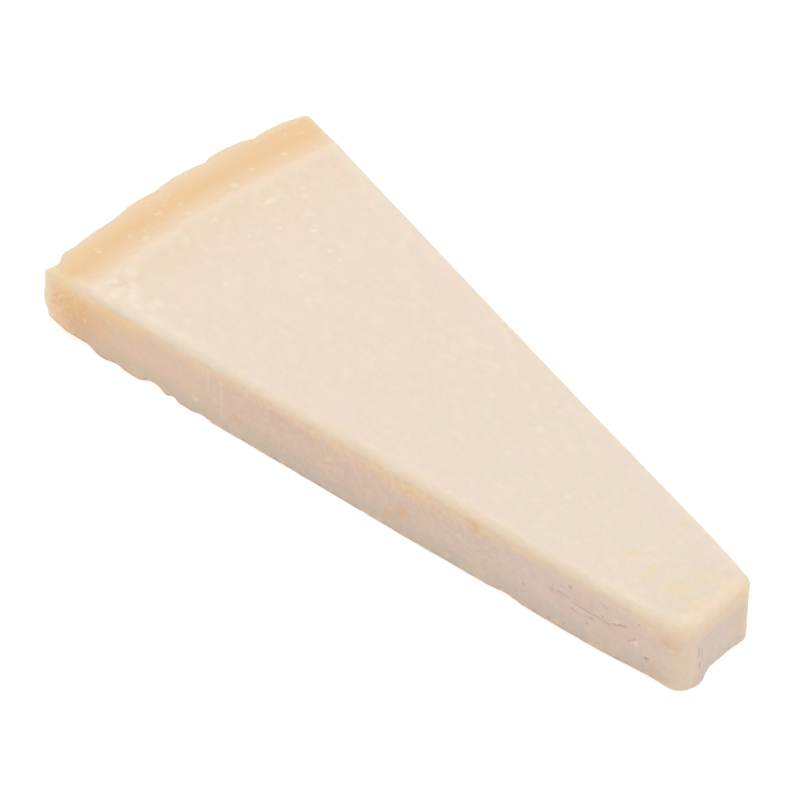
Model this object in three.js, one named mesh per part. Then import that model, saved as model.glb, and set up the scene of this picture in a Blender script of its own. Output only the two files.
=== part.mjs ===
// A wedge of hard grating cheese, sliced flat from a wheel and lying on its underside.
// Millimetres, +Z up. The rind faces -X, the blunt nose faces +X, and the middle of the footprint is the origin.
//
// The wedge is one box of triangles whose points are moved by functions: a point of the box is first read as
// distances from the six faces of the wedge, then its edges are rounded and its relief is added, and last it is
// turned about the axis of the wheel that the wedge was cut from.
import * as THREE from 'three';
import { mergeVertices } from 'three/addons/utils/BufferGeometryUtils.js';

// The wheel and the cuts. Angles are in degrees, measured at the wheel's axis.
const WHEEL_RADIUS = 220;
const AXIS_X = 141;
const AXIS_Y = -0.24;
const FRONT_ANGLE = 9.0;
const BACK_ANGLE = 9.15;
const THICKNESS = 17.1;
const NOSE_CUT = 62.4;
const NOSE_TURN = 5.6;

// How far the worn edges reach in from the faces that meet there
const CUT_EDGE = 0.7;
const RIND_EDGE = 0.9;
const FRONT_TOP_EDGE = 2.6;
const BACK_TOP_EDGE = 1.6;
const TOP_EDGE = 1.3;
const TOP_EDGE_FRONT = 2.4;
const TOP_EDGE_NOSE = 1.2;
const NOSE_EDGE_FRONT = 3.4;
const NOSE_EDGE_BACK = 2.3;
const FRONT_EDGE_NOSE = 2.4;
const BACK_EDGE_NOSE = 1.6;

// The band of rind, which dried and sank on both cut faces. Each size is given at the front and at the back.
const BAND_WIDTH = 12;
const BAND_SINK_FRONT = 1.3;
const BAND_SINK_MIDDLE = 0.9;
const BAND_SINK_BACK = 0.7;
const BAND_LIP = 0.12;
const UNDERSIDE_RISE_FRONT = 1.45;
const UNDERSIDE_RISE_MIDDLE = 0.9;
const UNDERSIDE_RISE_BACK = 0.55;
const UNDERSIDE_RISE_START = 14.5;
const UNDERSIDE_RISE_RUN = 3.5;
const CORNER_CUT = 1.75;
const CORNER_CUT_LENGTH = 5.5;

// The rind's outline, seen from above: arches that stand on notches. A positive dip stands out.
const SCALLOPS = [
  { angle: -9.05, dip: 0.2, rise: -0.3, squareness: 2.0 },
  { angle: -7.98, dip: -1.05, rise: 0.8, squareness: 1.6 },
  { angle: -6.65, dip: -0.2, rise: 0.1, squareness: 3.0 },
  { angle: -3.65, dip: -0.45, rise: 0.6, squareness: 2.2 },
  { angle: -0.85, dip: -0.2, rise: 0.6, squareness: 2.6 },
  { angle: 2.45, dip: -0.1, rise: 0.95, squareness: 3.8 },
  { angle: 5.65, dip: -0.22, rise: 0.8, squareness: 2.2 },
  { angle: 9.15, dip: -0.45, rise: 0, squareness: 2.0 },
];
const SCALLOP_REACH = 5;
const BELLY = { out: 0.45, middle: 7, half: 6.5 };
const FOOT_STEP = { inwards: 0.45, height: 1.6, run: 2.4 };

// Bites out of the front's lower edge, by their distance from the rind
const LOWER_CHIPS = [
  { middle: 18.7, half: 3.0, height: 0.6 },
  { middle: 28.6, half: 4.2, height: 1.55 },
  { middle: 33.7, half: 2.0, height: 0.95 },
  { middle: 41.3, half: 3.0, height: 0.5 },
  { middle: 116.6, half: 4.4, height: 0.55 },
  { middle: 148, half: 9.5, height: 0.5 },
];
const CHIP_REACH = 6;
const CHIP_CLIMB = 7;

// The broken lower edge of the nose: a bite towards the back, and a toe of cheese left beside it
const NOSE_BITE = { height: 1.85, start: 5.4, run: 2.6, reach: 5.5, fadeStart: 12.5, fadeRun: 6, fade: 0.45 };
const NOSE_TOE = { out: 0.5, middle: 4.6, half: 2.4, reach: 3, climb: 4.5 };

// The cut faces are not quite flat: the top sags and the front swells halfway along.
const TOP_SAG = 0.45;
const FRONT_SWELL = 0.15;
const SWELL_REACH = 15;

// How finely the faces are divided
const WIDTH_STEPS = 32;
const WIDTH_CROWDING = 0.5;
const HEIGHT_STEPS = 8;
const HEIGHT_CROWDING = 0.75;
const SHORTEST_STEP = 0.5;
const LIVELY_STEP = 1.6;
const CALM_STEP = 4.4;
const LIVELY_LENGTH = 44;

const DEGREE = Math.PI / 180;
const FRONT = FRONT_ANGLE * DEGREE;
const BACK = BACK_ANGLE * DEGREE;
const TURN = NOSE_TURN * DEGREE;
const MIDDLE_LENGTH = WHEEL_RADIUS - NOSE_CUT;

const { clamp, lerp } = THREE.MathUtils;

function ease(t) {
  return THREE.MathUtils.smoothstep(t, 0, 1);
}

// A smooth hump, 1 at its middle and 0 from half a width away
function hump(x, middle, half) {
  const fall = Math.max(0, 1 - ((x - middle) / half) ** 2);
  return fall * fall;
}

// From the front side (0) over a quarter of the way across to the back side (1)
function acrossWedge(front, middle, back, across) {
  const quarter = 0.25;
  return across < quarter
    ? lerp(front, middle, across / quarter)
    : lerp(middle, back, (across - quarter) / (1 - quarter));
}

// Distance from the wheel's axis to the nose cut, a plane turned a little away from square
function noseRadius(angle) {
  return (NOSE_CUT * Math.cos(TURN)) / Math.cos(angle + TURN);
}

// How far the rind stands out from the wheel's true circle
function rindOffset(degrees) {
  let index = SCALLOPS.findLastIndex((scallop) => scallop.angle <= degrees);
  index = clamp(index, 0, SCALLOPS.length - 2);
  const here = SCALLOPS[index];
  const next = SCALLOPS[index + 1];
  const t = clamp((degrees - here.angle) / (next.angle - here.angle), 0, 1);
  return lerp(here.dip, next.dip, t) + here.rise * (1 - Math.abs(2 * t - 1) ** here.squareness);
}

// Moves a point in from the faces it is near, so that the box's edges and corners become quarter ellipses.
// Each of the three axes has a distance and a reach at its near and at its far face.
function roundedEdges(axes) {
  const pulls = axes.map(({ near, far, nearReach, farReach }) => ({
    near: Math.max(0, 1 - near / nearReach),
    far: Math.max(0, 1 - far / farReach),
    nearReach,
    farReach,
  }));
  const sizes = pulls.map(({ near, far }) => near + far);
  const norm = Math.hypot(...sizes);
  const lost = norm > 0 ? 1 - Math.max(...sizes) / norm : 0;
  return pulls.map(({ near, far, nearReach, farReach }) => lost * (near * nearReach - far * farReach));
}

// A point of the wedge's skin. u runs from rind to nose, v from front to back and w upwards, each from 0 to 1.
function skinPoint(u, v, w) {
  const angle = lerp(-FRONT, BACK, v);
  const length = WHEEL_RADIUS - noseRadius(angle);
  const fromRind = u * length;
  const fromNose = length - fromRind;
  const radius = WHEEL_RADIUS - fromRind;
  const fromFront = radius * (angle + FRONT);
  const fromBack = radius * (BACK - angle);
  const height = w * THICKNESS;
  const high = ease(w);
  const nearRind = 1 - ease((fromRind - 4) / BAND_WIDTH);
  const nearNose = 1 - ease(fromNose / 14);

  const [inward, sideways, upwards] = roundedEdges([
    {
      near: fromRind,
      far: fromNose,
      nearReach: RIND_EDGE,
      farReach: lerp(NOSE_EDGE_FRONT, NOSE_EDGE_BACK, ease(v)),
    },
    {
      near: fromFront,
      far: fromBack,
      nearReach:
        CUT_EDGE +
        high * (FRONT_TOP_EDGE - CUT_EDGE) * (1 - 0.7 * nearRind) +
        nearNose * (FRONT_EDGE_NOSE - 1.1 * high),
      farReach:
        CUT_EDGE +
        high * (BACK_TOP_EDGE - CUT_EDGE) * (1 - 0.7 * nearRind) +
        nearNose * (BACK_EDGE_NOSE - 0.6 * high),
    },
    {
      near: height,
      far: THICKNESS - height,
      nearReach: CUT_EDGE + (TOP_EDGE_NOSE / 2) * nearNose,
      farReach:
        TOP_EDGE +
        (1 - ease(2 * v)) * (TOP_EDGE_FRONT - TOP_EDGE) * (1 - 0.8 * nearRind) +
        TOP_EDGE_NOSE * nearNose -
        0.4 * nearRind,
    },
  ]);

  // the rind's scallops and belly
  const rindOnly = 1 - ease(fromRind / SCALLOP_REACH);
  const belly = BELLY.out * hump(height, BELLY.middle, BELLY.half) * (1 - 0.6 * ease(3 * v));
  const scallop = rindOffset(angle / DEGREE) * (0.35 + 0.65 * ease(1.5 * w));
  const footStep = FOOT_STEP.inwards * (1 - ease((height - FOOT_STEP.height) / FOOT_STEP.run)) * (1 - ease(2 * v));
  let depth = fromRind + inward - rindOnly * (scallop + belly - footStep);

  // the sunken band of rind, above and below
  const sink = acrossWedge(BAND_SINK_FRONT, BAND_SINK_MIDDLE, BAND_SINK_BACK, v);
  const bandSlope = Math.sin((Math.PI / 2) * clamp(1 - fromRind / BAND_WIDTH, 0, 1));
  const lip = BAND_LIP * hump(fromRind, BAND_WIDTH + 0.5, 2.5);
  const rise = acrossWedge(UNDERSIDE_RISE_FRONT, UNDERSIDE_RISE_MIDDLE, UNDERSIDE_RISE_BACK, v);
  const rising = rise * ease((UNDERSIDE_RISE_START - fromRind) / UNDERSIDE_RISE_RUN);
  const corner = CORNER_CUT * clamp(1 - fromRind / CORNER_CUT_LENGTH, 0, 1) * (1 - ease(fromFront / BAND_WIDTH));
  let z = height + upwards + (lip - sink * bandSlope) * high + (rising + corner) * (1 - high);

  // the chipped lower edge
  const chips = LOWER_CHIPS.reduce((sum, chip) => sum + chip.height * hump(fromRind, chip.middle, chip.half), 0);
  z += chips * (1 - ease(fromFront / CHIP_REACH)) * (1 - ease(height / CHIP_CLIMB));
  const biteAcross =
    ease((fromFront - NOSE_BITE.start) / NOSE_BITE.run) *
    (1 - NOSE_BITE.fade * ease((fromFront - NOSE_BITE.fadeStart) / NOSE_BITE.fadeRun));
  z += NOSE_BITE.height * biteAcross * (1 - ease(fromNose / NOSE_BITE.reach)) * (1 - ease(height / CHIP_CLIMB));
  depth +=
    NOSE_TOE.out *
    hump(fromFront, NOSE_TOE.middle, NOSE_TOE.half) *
    (1 - ease(fromNose / NOSE_TOE.reach)) *
    (1 - ease(height / NOSE_TOE.climb));

  // the slow swell of the cut faces
  const along = Math.sin(Math.PI * u);
  z -= TOP_SAG * along * high;
  const swell = FRONT_SWELL * along * (1 - ease(fromFront / SWELL_REACH));

  const reach = WHEEL_RADIUS - depth;
  const bearing = angle + (sideways - swell) / radius;
  return [AXIS_X - reach * Math.cos(bearing), AXIS_Y + reach * Math.sin(bearing), z];
}

// Marks from 0 to 1 that crowd together towards both ends
function crowdedMarks(steps, crowding) {
  const even = Array.from({ length: steps + 1 }, (_, index) => index / steps);
  return even.map((t) => t - (crowding * Math.sin(2 * Math.PI * t)) / (2 * Math.PI));
}

// Marks from rind to nose: short steps over the rind and the chipped stretch, long ones after it, short at the nose
function lengthMarks() {
  const marks = [0];
  while (marks.at(-1) < MIDDLE_LENGTH) {
    const here = marks.at(-1);
    const open = SHORTEST_STEP + LIVELY_STEP * ease(here / 6) + CALM_STEP * ease((here - LIVELY_LENGTH) / 12);
    const closing = 1 - 0.88 * ease((here - (MIDDLE_LENGTH - 14)) / 12);
    marks.push(here + open * closing);
  }
  return marks.map((mark) => mark / marks.at(-1));
}

function cheeseSkin() {
  const along = lengthMarks();
  const across = crowdedMarks(WIDTH_STEPS, WIDTH_CROWDING);
  const upwards = crowdedMarks(HEIGHT_STEPS, HEIGHT_CROWDING);
  const lengthSteps = along.length - 1;
  const box = new THREE.BoxGeometry(1, 1, 1, lengthSteps, WIDTH_STEPS, HEIGHT_STEPS);
  box.deleteAttribute('normal');
  box.deleteAttribute('uv');
  const position = box.attributes.position;
  for (let index = 0; index < position.count; index += 1) {
    const u = along[Math.round((position.getX(index) + 0.5) * lengthSteps)];
    const v = across[Math.round((position.getY(index) + 0.5) * WIDTH_STEPS)];
    const w = upwards[Math.round((position.getZ(index) + 0.5) * HEIGHT_STEPS)];
    position.setXYZ(index, ...skinPoint(u, v, w));
  }
  const skin = mergeVertices(box, 1e-5);
  skin.computeVertexNormals();
  return skin;
}

const paste = new THREE.MeshStandardMaterial({ color: 0xecdac2, roughness: 0.55, metalness: 0 });

const wedge = new THREE.Mesh(cheeseSkin(), paste);
wedge.name = 'cheese_wedge';

const cheese = new THREE.Group();
cheese.add(wedge);

export default cheese;
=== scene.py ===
# %% [markdown]
# A wedge of hard grating cheese
#
# The wedge is one flat slice of a big wheel: an amber rind at the wide end, two cut sides that run towards
# the middle of the wheel, and a blunt nose where the very middle was cut away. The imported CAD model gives
# its true size, so this lesson only replaces the CAD solid's skin with a finer one and gives it a finish.
# Shapes are worked out in millimetres, because a reader can check them with a ruler, and turned into metres
# when they are put into a mesh.

import bpy
import numpy as np
from mathutils import Matrix, Vector


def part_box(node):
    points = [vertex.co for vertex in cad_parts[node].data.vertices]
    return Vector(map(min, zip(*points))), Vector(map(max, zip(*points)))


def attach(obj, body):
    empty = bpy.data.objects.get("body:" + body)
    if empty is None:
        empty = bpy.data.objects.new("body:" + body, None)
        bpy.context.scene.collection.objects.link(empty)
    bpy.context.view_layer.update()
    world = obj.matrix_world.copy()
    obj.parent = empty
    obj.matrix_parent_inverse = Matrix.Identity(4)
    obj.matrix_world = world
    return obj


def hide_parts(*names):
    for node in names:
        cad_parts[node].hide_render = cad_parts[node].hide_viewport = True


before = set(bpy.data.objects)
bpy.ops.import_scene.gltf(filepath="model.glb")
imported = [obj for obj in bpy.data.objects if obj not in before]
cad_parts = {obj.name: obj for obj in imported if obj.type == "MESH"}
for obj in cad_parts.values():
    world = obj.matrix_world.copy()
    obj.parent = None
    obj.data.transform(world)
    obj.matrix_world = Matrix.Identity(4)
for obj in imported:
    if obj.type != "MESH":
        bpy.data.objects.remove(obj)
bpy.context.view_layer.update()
MM = 0.001
cad_low, cad_high = (np.array(corner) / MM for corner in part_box("cheese_wedge"))
print("CAD wedge from", cad_low.round(2), "to", cad_high.round(2), "mm")

# %% [markdown]
# The camera comes first, because everything else is judged through it. The photograph was taken from above,
# between the nose and the front side, with a long lens that hardly makes the far end smaller. A camera could
# be aimed by eye, but here its place comes from the photograph's outline: a turn round the object, a height
# above the horizon, a distance, and a small slide across the view.

# %% Camera at the photograph's angle
PHOTO_SIZE = 800
FOCAL_PIXELS = 4500
SENSOR_WIDTH = 36
CAMERA_TURN = np.radians(48.12)
CAMERA_RISE = np.radians(44.63)
CAMERA_DISTANCE = 873.9
CAMERA_SLIDE_RIGHT = -6.06
CAMERA_SLIDE_UP = 8.92


def camera_axes(turn, rise):
    """Right, up and backward directions of a camera turned about Z from looking along +Y, then raised."""
    right = np.array([np.cos(turn), np.sin(turn), 0.0])
    back = np.array([np.sin(turn) * np.cos(rise), -np.cos(turn) * np.cos(rise), np.sin(rise)])
    return right, np.cross(back, right), back


right, up, back = camera_axes(CAMERA_TURN, CAMERA_RISE)
place = (CAMERA_SLIDE_RIGHT * right + CAMERA_SLIDE_UP * up + CAMERA_DISTANCE * back) * MM
lens = bpy.data.cameras.new("view")
lens.sensor_width = SENSOR_WIDTH
lens.lens = FOCAL_PIXELS / PHOTO_SIZE * SENSOR_WIDTH
lens.clip_end = 20
camera = bpy.data.objects.new("view", lens)
turned_and_placed = np.column_stack([right, up, back, place])
camera.matrix_world = Matrix([*turned_and_placed.tolist(), [0, 0, 0, 1]])
bpy.context.collection.objects.link(camera)
bpy.context.scene.camera = camera
print("camera at", place.round(3), "m with a", round(lens.lens, 1), "mm lens")

# %% [markdown]
# Two curves shape nearly everything on the wedge: an ease from 0 to 1 for every soft start and stop, and a
# smooth hump for every local rise. The finer unevenness of the cheese comes from lattice noise, which is a
# random number on every corner of a grid of cubes, mixed between the corners with the same ease.

# %% Curves and noise
NOISE_VALUES = 4096
CORNER_KEYS = np.array([73856093, 19349663, 83492791])


def ease(t):
    """0 below 0, 1 above 1, and between them three times the square less twice the cube."""
    t = np.clip(t, 0.0, 1.0)
    return t * t * (3.0 - 2.0 * t)


def hump(x, middle, half):
    """1 at the middle, 0 from half a width away: the square of one less the squared distance."""
    return np.clip(1.0 - ((x - middle) / half) ** 2, 0.0, None) ** 2


def noise(points, size, seed):
    """Lattice noise from -1 to 1 at points of shape (n, 3). size is the cubes' edge, or three edges.

    A corner's value is looked up by a key: its three whole numbers, each times a large one, mixed by bits.
    """
    table = np.random.default_rng(seed).uniform(-1.0, 1.0, NOISE_VALUES)
    cells = points / np.broadcast_to(size, 3)
    corner = np.floor(cells).astype(np.int64)
    share = ease(cells - corner)
    total = np.zeros(len(points))
    for step in np.ndindex(2, 2, 2):
        key = (corner + step) * CORNER_KEYS
        weight = np.where(step, share, 1.0 - share).prod(axis=1)
        total += weight * table[(key[:, 0] ^ key[:, 1] ^ key[:, 2]) % len(table)]
    return total


def rough(points, size, octaves, seed):
    """Noise summed over octaves, each half as large and half as strong as the one before."""
    return sum(noise(points, np.array(size) / 2**k, seed + k) / 2**k for k in range(octaves))


print("a quarter of the way along, the ease is at", round(float(ease(0.25)), 3))

# %% [markdown]
# The body has the CAD solid's shape, apart from one corner that is rounded a little more. It could be
# sculpted or cut with booleans, but one rule for every point is easier to read: a cube's skin is divided
# into a fine grid, each grid point is read as distances from the six faces of the wedge, its edges are
# rounded, its relief is added, and last it is turned about the axis of the wheel. The sizes below are the
# driving sizes of the wedge, in millimetres and in degrees at the wheel's axis.

# %% Sizes of the wedge
WHEEL_RADIUS = 220.0
AXIS = np.array([141.0, -0.24])
FRONT_ANGLE = 9.0
BACK_ANGLE = 9.15
THICKNESS = 17.1
NOSE_CUT = 62.4
NOSE_TURN = 5.6
BAND_WIDTH = 12.0
NEAR_RIND_START = 4.0
NEAR_NOSE_REACH = 14.0
print("a slice of", FRONT_ANGLE + BACK_ANGLE, "degrees from a wheel", WHEEL_RADIUS / 5, "cm across")

# %% [markdown]
# On the cube, u runs from the rind to the nose, v from front to back and w upwards. An even grid would waste
# points in the quiet middle, so they lie closer at the rind, closest at the nose, and closer along edges.

# %% The cube's grid
LENGTH_STEPS = 312
WIDTH_STEPS = 104
HEIGHT_STEPS = 40


def marks(steps, density):
    """Marks from 0 to 1 that lie closer where density, a function of the way along, is higher."""
    t = np.linspace(0.0, 1.0, 2001)
    total = np.concatenate([[0.0], np.cumsum(density((t[1:] + t[:-1]) / 2))])
    return np.interp(np.linspace(0.0, total[-1], steps + 1), total, t)


def cube_skin(along, across, upwards):
    """Grid points on a cube's skin and the quads that join them, each shared edge and corner only once."""
    size = (len(along), len(across), len(upwards))
    outer = np.ones(size, bool)
    outer[1:-1, 1:-1, 1:-1] = False
    number = np.full(size, -1)
    number[outer] = np.arange(outer.sum())
    i, j, k = np.nonzero(outer)
    patches = [
        (number[:, :, -1], False),
        (number[:, :, 0], True),
        (number[:, 0, :], False),
        (number[:, -1, :], True),
        (number[0], True),
        (number[-1], False),
    ]
    quads = []
    for grid, flipped in patches:
        ring = np.stack([grid[:-1, :-1], grid[1:, :-1], grid[1:, 1:], grid[:-1, 1:]], axis=-1).reshape(-1, 4)
        quads.append(ring[:, ::-1] if flipped else ring)
    return along[i], across[j], upwards[k], np.concatenate(quads)


along = marks(LENGTH_STEPS, lambda t: 1.9 - 0.8 * ease((t - 0.25) / 0.1) + 1.4 * ease((t - 0.68) / 0.08))
across = marks(WIDTH_STEPS, lambda t: 1.0 + 1.2 * (1 - ease(np.minimum(t, 1 - t) / 0.06)))
upwards = marks(HEIGHT_STEPS, lambda t: 1.0 + 0.7 * (1 - ease(np.minimum(t, 1 - t) / 0.15)))
u, v, w, quads = cube_skin(along, across, upwards)
print("grid of", len(u), "points and", len(quads), "quads")

# %% [markdown]
# Every later rule asks how far a point is from the rind, the nose, the two cut sides, the underside and the
# top. On a slice of a wheel these are polar distances: the rind is a circle about the wheel's axis, the
# sides are rays from it, and the nose is a plane turned a little away from square.

# %% Distances from the six faces
front, behind, turned = np.radians([FRONT_ANGLE, BACK_ANGLE, NOSE_TURN])
angle = -front + v * (front + behind)
length = WHEEL_RADIUS - NOSE_CUT * np.cos(turned) / np.cos(angle + turned)
from_rind = u * length
from_nose = length - from_rind
radius = WHEEL_RADIUS - from_rind
from_front = radius * (angle + front)
from_back = radius * (behind - angle)
height = w * THICKNESS
high = ease(w)
near_rind = 1 - ease((from_rind - NEAR_RIND_START) / BAND_WIDTH)
near_nose = 1 - ease(from_nose / NEAR_NOSE_REACH)
width = from_front + from_back
print("the wedge is", round(float(length.max()), 1), "mm long and", round(float(width.max()), 1), "mm wide")

# %% [markdown]
# Cheese has no sharp edges for long. The knife leaves them crisp at the underside and at the hard rind, and
# handling and drying wear them round at the top and above all at the nose. A Bevel modifier gives every
# edge one width. Here each face says how far the rounding reaches in from it, and a cube that is squeezed
# to a ball does the rest, so the width changes smoothly along every edge.

# %% Rounded edges
CUT_EDGE = 0.7
RIND_EDGE = 0.9
RIND_EDGE_CORNER = 2.0
FRONT_TOP_EDGE = 2.6
BACK_TOP_EDGE = 1.6
TOP_EDGE = 1.3
TOP_EDGE_FRONT = 2.4
TOP_EDGE_NOSE = 1.2
NOSE_EDGE_FRONT = 3.4
NOSE_EDGE_BACK = 2.3
FRONT_EDGE_NOSE = 2.4
BACK_EDGE_NOSE = 1.6
FRONT_LESS_AT_TOP = 1.1
BACK_LESS_AT_TOP = 0.6
SIDES_LOSE_AT_RIND = 0.7
TOP_LOSES_AT_RIND = 0.8
TOP_LESS_AT_RIND = 0.4


def rounded(axes):
    """Moves inwards that turn edges into quarter ellipses.

    For each axis, (near, far, near reach, far reach) give a pull of one less distance over reach. A point
    keeps the largest pull over the length of the three pulls, and loses the rest of its way.
    """
    pulls = [(np.clip(1 - a / ra, 0, None), np.clip(1 - b / rb, 0, None), ra, rb) for a, b, ra, rb in axes]
    sizes = np.stack([near + far for near, far, _, _ in pulls])
    norm = np.sqrt((sizes**2).sum(axis=0))
    lost = 1 - np.divide(sizes.max(axis=0), norm, out=np.ones_like(norm), where=norm > 0)
    return [lost * (near * ra - far * rb) for near, far, ra, rb in pulls]


def side_reach(top_edge, nose_edge, less_at_top):
    """A cut side's reach: crisp at the foot and the rind, wider at the top edge and at the nose."""
    reach = CUT_EDGE + high * (top_edge - CUT_EDGE) * (1 - SIDES_LOSE_AT_RIND * near_rind)
    return reach + near_nose * (nose_edge - less_at_top * high)


rind_reach = RIND_EDGE + (RIND_EDGE_CORNER - RIND_EDGE) * high * (1 - ease(5 * v))
nose_reach = NOSE_EDGE_FRONT + (NOSE_EDGE_BACK - NOSE_EDGE_FRONT) * ease(v)
front_reach = side_reach(FRONT_TOP_EDGE, FRONT_EDGE_NOSE, FRONT_LESS_AT_TOP)
back_reach = side_reach(BACK_TOP_EDGE, BACK_EDGE_NOSE, BACK_LESS_AT_TOP)
under_reach = CUT_EDGE + TOP_EDGE_NOSE / 2 * near_nose
front_half = 1 - ease(2 * v)
top_reach = TOP_EDGE + front_half * (TOP_EDGE_FRONT - TOP_EDGE) * (1 - TOP_LOSES_AT_RIND * near_rind)
top_reach = top_reach + TOP_EDGE_NOSE * near_nose - TOP_LESS_AT_RIND * near_rind
inward, sideways, lifted = rounded(
    [
        (from_rind, from_nose, rind_reach, nose_reach),
        (from_front, from_back, front_reach, back_reach),
        (height, THICKNESS - height, under_reach, top_reach),
    ]
)
print("edges move in by up to", round(float(np.abs(inward).max()), 2), "mm at the nose")

# %% [markdown]
# The rind carries the marks of the mould. From above they read as flat arches that stand on narrow notches,
# one every twelve millimetres or so, and the belt of the rind bulges a little at half height. The rind also
# dried more than the paste did, so it sank: on top a band twelve millimetres wide slopes down from a faint
# lip, and on the underside the band is set back in one soft step.

# %% The rind's relief
SCALLOPS = [
    {"angle": -9.05, "dip": 0.20, "rise": -0.30, "squareness": 2.0},
    {"angle": -7.98, "dip": -1.05, "rise": 0.8, "squareness": 1.6},
    {"angle": -6.65, "dip": -0.20, "rise": 0.1, "squareness": 3.0},
    {"angle": -3.65, "dip": -0.45, "rise": 0.60, "squareness": 2.2},
    {"angle": -0.85, "dip": -0.20, "rise": 0.60, "squareness": 2.6},
    {"angle": 2.45, "dip": -0.10, "rise": 0.95, "squareness": 3.8},
    {"angle": 5.65, "dip": -0.22, "rise": 0.80, "squareness": 2.2},
    {"angle": 9.15, "dip": -0.45, "rise": 0.0, "squareness": 2.0},
]
SCALLOP_REACH = 5.0
BELLY_OUT = 0.45
BELLY_MIDDLE = 7.0
BELLY_HALF = 6.5
FOOT_STEP_IN = 0.45
FOOT_STEP_HEIGHT = 1.6
FOOT_STEP_RUN = 2.4
BAND_SINK = (1.3, 0.9, 0.7)
BAND_LIP = 0.12
UNDERSIDE_RISE = (1.45, 0.9, 0.55)
UNDERSIDE_RISE_START = 14.5
UNDERSIDE_RISE_RUN = 3.5
CORNER_CUT = 1.75
CORNER_CUT_LENGTH = 5.5
SCALLOPS_AT_FOOT = 0.35
BELLY_LOST_AT_BACK = 0.6
LIP_HALF = 2.5


def rind_offset(degrees):
    """Straight lines from dip to dip, and on each an arch: rise times one less a power of the way out."""
    keys = ("angle", "dip", "rise", "squareness")
    starts, dips, rises, powers = (np.array([arch[key] for arch in SCALLOPS]) for key in keys)
    here = np.clip(np.searchsorted(starts, degrees, side="right") - 1, 0, len(starts) - 2)
    t = np.clip((degrees - starts[here]) / (starts[here + 1] - starts[here]), 0, 1)
    return np.interp(degrees, starts, dips) + rises[here] * (1 - np.abs(2 * t - 1) ** powers[here])


def across_wedge(sizes):
    """Three sizes, at the front side, a quarter of the way across and at the back side, joined by lines."""
    return np.interp(v, (0.0, 0.25, 1.0), sizes)


rind_only = 1 - ease(from_rind / SCALLOP_REACH)
belly = BELLY_OUT * hump(height, BELLY_MIDDLE, BELLY_HALF) * (1 - BELLY_LOST_AT_BACK * ease(3 * v))
kept = SCALLOPS_AT_FOOT + (1 - SCALLOPS_AT_FOOT) * ease(1.5 * w)
scallops = rind_offset(np.degrees(angle)) * kept
foot_step = FOOT_STEP_IN * (1 - ease((height - FOOT_STEP_HEIGHT) / FOOT_STEP_RUN)) * front_half
depth = from_rind + inward - rind_only * (scallops + belly - foot_step)

band_slope = np.sin(np.pi / 2 * np.clip(1 - from_rind / BAND_WIDTH, 0, 1))
lip = BAND_LIP * hump(from_rind, BAND_WIDTH + 0.5, LIP_HALF)
rising = across_wedge(UNDERSIDE_RISE) * ease((UNDERSIDE_RISE_START - from_rind) / UNDERSIDE_RISE_RUN)
corner_cut = CORNER_CUT * np.clip(1 - from_rind / CORNER_CUT_LENGTH, 0, 1)
corner_cut = corner_cut * (1 - ease(from_front / BAND_WIDTH))
sunk = lip - across_wedge(BAND_SINK) * band_slope
z = height + lifted + sunk * high + (rising + corner_cut) * (1 - high)
print("the rind stands out by", scallops.min().round(2), "to", scallops.max().round(2), "mm")

# %% [markdown]
# The lower edges broke where the slice came away from the wheel: small bites along the front, most of them
# near the rind, and one long bite under the nose with a toe of cheese left standing beside it. The big cut
# faces are not quite flat either. The top sags by less than half a millimetre and the front swells by even
# less. Cutting the bites with booleans would leave hard edges, so each is one of the humps from above.

# %% Chips, the nose's bite and the swell of the faces
LOWER_CHIPS = [
    {"middle": 18.7, "half": 3.0, "height": 0.60},
    {"middle": 28.6, "half": 4.2, "height": 1.55},
    {"middle": 33.7, "half": 2.0, "height": 0.95},
    {"middle": 41.3, "half": 3.0, "height": 0.50},
    {"middle": 116.6, "half": 4.4, "height": 0.55},
    {"middle": 148.0, "half": 9.5, "height": 0.50},
]
CHIP_REACH = 6.0
CHIP_CLIMB = 7.0
BITE_HEIGHT = 1.85
BITE_START = 5.4
BITE_RUN = 2.6
BITE_REACH = 5.5
BITE_FADE = 0.45
BITE_FADE_START = 12.5
BITE_FADE_RUN = 6.0
TOE_OUT = 0.5
TOE_MIDDLE = 4.6
TOE_HALF = 2.4
TOE_REACH = 3.0
TOE_CLIMB = 4.5
TOP_SAG = 0.45
FRONT_SWELL = 0.15
SWELL_REACH = 15.0

low = 1 - ease(height / CHIP_CLIMB)
chips = sum(chip["height"] * hump(from_rind, chip["middle"], chip["half"]) for chip in LOWER_CHIPS)
z = z + chips * (1 - ease(from_front / CHIP_REACH)) * low
bite = BITE_HEIGHT * ease((from_front - BITE_START) / BITE_RUN)
bite = bite * (1 - BITE_FADE * ease((from_front - BITE_FADE_START) / BITE_FADE_RUN))
z = z + bite * (1 - ease(from_nose / BITE_REACH)) * low
toe = TOE_OUT * hump(from_front, TOE_MIDDLE, TOE_HALF)
toe = toe * (1 - ease(from_nose / TOE_REACH)) * (1 - ease(height / TOE_CLIMB))
depth = depth + toe
midway = np.sin(np.pi * u)
z = z - TOP_SAG * midway * high
swell = FRONT_SWELL * midway * (1 - ease(from_front / SWELL_REACH))

bearing = angle + (sideways - swell) / radius
reach = WHEEL_RADIUS - depth
body = np.stack([AXIS[0] - reach * np.cos(bearing), AXIS[1] + reach * np.sin(bearing), z], axis=1)
print("body from", body.min(axis=0).round(2), "to", body.max(axis=0).round(2), "mm")

# %% [markdown]
# Fine relief is pushed along the surface's own direction, so the next step needs a normal at every point.
# The cross product of a quad's diagonals gives its normal, and a point takes the sum of its quads' normals.

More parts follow.
